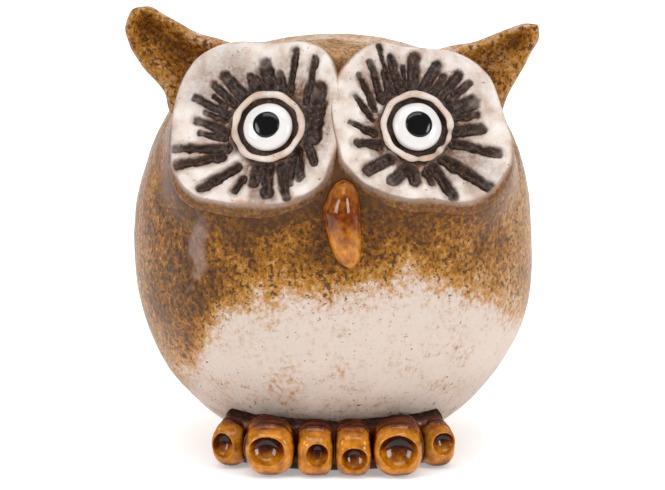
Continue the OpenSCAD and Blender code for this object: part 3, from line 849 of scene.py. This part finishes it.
# Thin on the tip and thicker up the ridge, with painted shade along both sides where it meets the pot
beak_pool_and_shade = 0.26 + 0.16 * ease(z - belly_z, 14, 24) + 0.6 * (1 - ease(v, -0.1, 0.4)) * np.ones_like(z)
beak_pool_and_shade += 0.16 * np.exp(-(((z - belly_z - 23) / 4) ** 2))
beak = mesh_piece("beak", beak_points, [f[::-1] for f in grid_faces(beak_rows, beak_around)],
                  {"pool_and_shade": np.clip(beak_pool_and_shade, 0, 1).reshape(-1), "dry": 0 * beak_pool_and_shade.reshape(-1)})
beak.data.materials.append(honey)
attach(beak, "owl")
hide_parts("beak")

# ---------------------------------------------------------------------------------------------
# The foot slab: a strap of clay wrapped under the front of the pot and luted to it, left rough
# and bare along its top and glazed below, behind the toes.
slab_low, slab_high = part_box("foot_slab")
slab_h = slab_high.z * 1000
slab_r = float(skin(slab_h - belly_z)) + 2.0
slab_profile = [(26, 0.1), (36, 0.05), (slab_r, 0.1), (slab_r + 1.2, 1.6), (slab_r + 1.0, slab_h * 0.5),
                (slab_r + 0.4, slab_h * 0.85), (slab_r - 0.8, slab_h), (slab_r - 3.5, slab_h + 0.2),
                (38, slab_h - 2), (34, 9), (28, 3), (26, 0.1)]
outline = along_curve(slab_profile, 90)[:-1]
slab_end = math.degrees(math.asin((slab_high.x - slab_low.x) * 500 / slab_r))
sweep = np.radians(np.linspace(-slab_end, slab_end, 260))
past_end = np.clip((np.abs(np.degrees(sweep)) - slab_end + 4) / 4, 0, 1)
end_fade = np.sqrt(np.clip(1 - past_end**2, 0.0004, 1))
slab_middle = outline.mean(axis=0)
rows = []
for a, fade in zip(sweep, end_fade):
    section = slab_middle + (outline - slab_middle) * (0.35 + 0.65 * fade if fade > 0.05 else 0.05)
    rows.append(np.stack([section[:, 0] * math.sin(a), -section[:, 0] * math.cos(a), section[:, 1]], axis=1))
slab_points = np.vstack(rows)
ragged = 0.6 * lump(slab_points, 5, 101) + 0.3 * lump(slab_points, 1.6, 102)
slab_points[:, 2] += ease(slab_points[:, 2], 5, 12) * ragged
dip = 1.2 * np.exp(-((slab_points[:, 0] / 13) ** 2))
slab_points[:, 2] -= dip * ease(slab_points[:, 2], 6, slab_h)
slab_points[:, 2] = np.maximum(slab_points[:, 2], 0.05)
slab_dry = ease(slab_points[:, 2] + 0.8 * lump(slab_points, 3, 103), slab_h - 3.2, slab_h - 1.2)
slab_pool = 0.62 + 0.15 * lump(slab_points, 4, 104) + 0.2 * (1 - ease(slab_points[:, 2], 2, 6))
slab = mesh_piece("foot_slab", slab_points, grid_faces(len(sweep), len(outline)),
                  {"pool_and_shade": slab_pool, "dry": slab_dry})
slab.data.materials.append(honey)
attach(slab, "owl")
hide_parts("foot_slab")

# ---------------------------------------------------------------------------------------------
# The toes: six rolled stubs of clay luted to the slab, each with a fingertip pressed in its end,
# so that the honey glaze pools dark in the hollow; between neighbours the pooled glaze is deepened
# with painted shade in the crevices.
toe_length = 20.0


def toe(name, across, reach, width, height, turn_out, dimple, seed):
    """One toe; dimple is (across, height, half width, half height, depth) of its hollow."""
    # The inner toes are pressed squarer between their neighbours
    square = 3.1 if abs(across) < 10 else 2.4
    d = np.abs(ball_points_fine)
    cross = (d[:, 0] ** square + d[:, 2] ** square) ** (4.5 / square)
    p = ball_points_fine * ((cross + d[:, 1] ** 4.5) ** (-1 / 4.5))[:, None]
    x = p[:, 0] * width / 2
    y = toe_length / 2 + p[:, 1] * toe_length / 2
    z = height / 2 + p[:, 2] * height / 2
    dx, dz, rx, rz, deep = dimple
    q = np.hypot((x - dx) / rx, (z - dz) / rz)
    facing = 1 - ease(y, 3.0, 7.0)
    bowl = np.sqrt(np.clip(1.0 - q**2, 0, 1)) ** 1.3
    bowl = bowl * (0.72 + 0.28 * ease((z - dz) / rz, -0.8, 0.8)) * facing
    lip = np.exp(-(((q - 1.12) / 0.2) ** 2)) * facing
    y = y + deep * bowl - 0.3 * lip
    z = z * (1 - 0.1 * (1 - ease(y, 0, 6)) * ease(z, 2, height))
    lumps = np.stack([x + across, y, z], axis=1)
    swell = 0.28 * lump(lumps, 5, seed) + 0.12 * lump(lumps, 2, seed + 1)
    folds = 0.3 * np.sin(y * 2.1 + 1.5 * lump(lumps, 6, seed + 2))
    folds = folds * ease(z, height * 0.7, height) * ease(y, 1.5, 4)
    centre_pull = np.stack([p[:, 0], p[:, 1] * 0.3, p[:, 2]], axis=1)
    x = x + swell * centre_pull[:, 0]
    y = y + swell * centre_pull[:, 1]
    z = z + (swell + folds) * centre_pull[:, 2]
    z = np.where(z < 0.9, 0.06 + 0.84 * np.exp(np.clip(z - 0.9, -6, 0)), z)
    side_pool_and_shade = ease(np.abs(x) / (width / 2), 0.74, 0.96) * ease(y, 0.8, 3.0)
    # Less glaze gathers, and less crevice shade is painted, on the open outer side of an outer toe
    side_pool_and_shade = side_pool_and_shade * np.where(x * across > 26 * np.abs(x), 0.3, 0.8)
    upper = ease((z - dz) / rz + 0.25 * lump(lumps, 2.5, seed + 4), -0.8, 0.6)
    grooves = ease(folds, -0.05, -0.25) * 0.3
    top = 0.45 * ease(z, height * 0.78, height) * ease(y, 1.0, 5)
    foot = 0.5 * (1 - ease(z, 0.2, 2.5))
    hollow_pool = bowl**0.7 * (0.12 + 0.8 * upper)
    pool_and_shade = 0.23 + np.maximum.reduce([hollow_pool, 0.85 * side_pool_and_shade, top + grooves, foot])
    c, s = math.cos(turn_out), math.sin(turn_out)
    points = np.stack([across + x * c - y * s, -reach + x * s + y * c, z], axis=1)
    piece = mesh_piece(name, points, ball_faces_fine, {"pool_and_shade": pool_and_shade, "dry": 0 * pool_and_shade})
    piece.data.materials.append(honey)
    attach(piece, "owl")
    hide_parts(name)


ball_points_fine, ball_faces_fine = ball(63)
toe("left_outer_toe", -29.3, 41.5, 9.8, 12.6, math.radians(-20), (-0.6, 7.0, 2.9, 3.9, 3.6), 111)
toe("left_middle_toe", -17.1, 51.4, 13.9, 14.5, 0, (-0.8, 8.2, 4.7, 4.5, 4.6), 121)
toe("left_inner_toe", -5.0, 51.4, 10.1, 13.9, 0, (0.6, 7.2, 2.9, 3.6, 3.8), 131)
toe("right_inner_toe", 5.1, 51.4, 10.1, 13.8, 0, (0.3, 5.8, 3.4, 3.5, 3.8), 141)
toe("right_middle_toe", 17.0, 51.4, 13.8, 14.5, 0, (0.2, 8.0, 5.2, 5.0, 4.8), 151)
toe("right_outer_toe", 29.1, 41.5, 9.9, 12.6, math.radians(20), (0.5, 7.6, 3.2, 3.4, 3.2), 161)

# ---------------------------------------------------------------------------------------------
# The stopper: a moulded black rubber bung with a pull rim, pushed up into the hole in the base
# and held there by its own grip.

# Dull black, with a broad faint sheen
rubber = new_material("moulded matt rubber")
rubber_shader = add(rubber, "BsdfPrincipled", {"Base Color": linear("#2a2826"), "Roughness": 0.6})
add(rubber, "OutputMaterial", {"Surface": rubber_shader.outputs[0]})
plug_low, plug_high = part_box("stopper")
plug_r = hole_r - 0.05
flange_r = (plug_high.x - plug_low.x) * 500
seat = recess_h - 0.02
lowest, highest = plug_low.z * 1000, plug_high.z * 1000
plug_profile = [(0, lowest + 0.9), (5.5, lowest + 0.9), (6.4, lowest + 0.7), (7.0, lowest + 0.05),
                (7.6, lowest), (9.4, lowest), (10.0, lowest + 0.05), (10.6, lowest + 0.5),
                (11.4, lowest + 0.6), (flange_r - 1.2, lowest + 0.6), (flange_r - 0.4, lowest + 0.75),
                (flange_r, lowest + 1.2), (flange_r, seat - 0.4), (flange_r - 0.4, seat), (plug_r, seat),
                (plug_r, base_t), (plug_r - 0.3, base_t + 0.8), (plug_r - 1, highest - 0.3),
                (plug_r - 1.4, highest), (plug_r - 2.8, highest), (plug_r - 3, highest - 0.4),
                (plug_r - 3, base_t - 2), (0, base_t - 2)]
stopper = mesh_piece("stopper", *turned(plug_profile, 144))
stopper.data.materials.append(rubber)
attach(stopper, "stopper")
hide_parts("stopper")
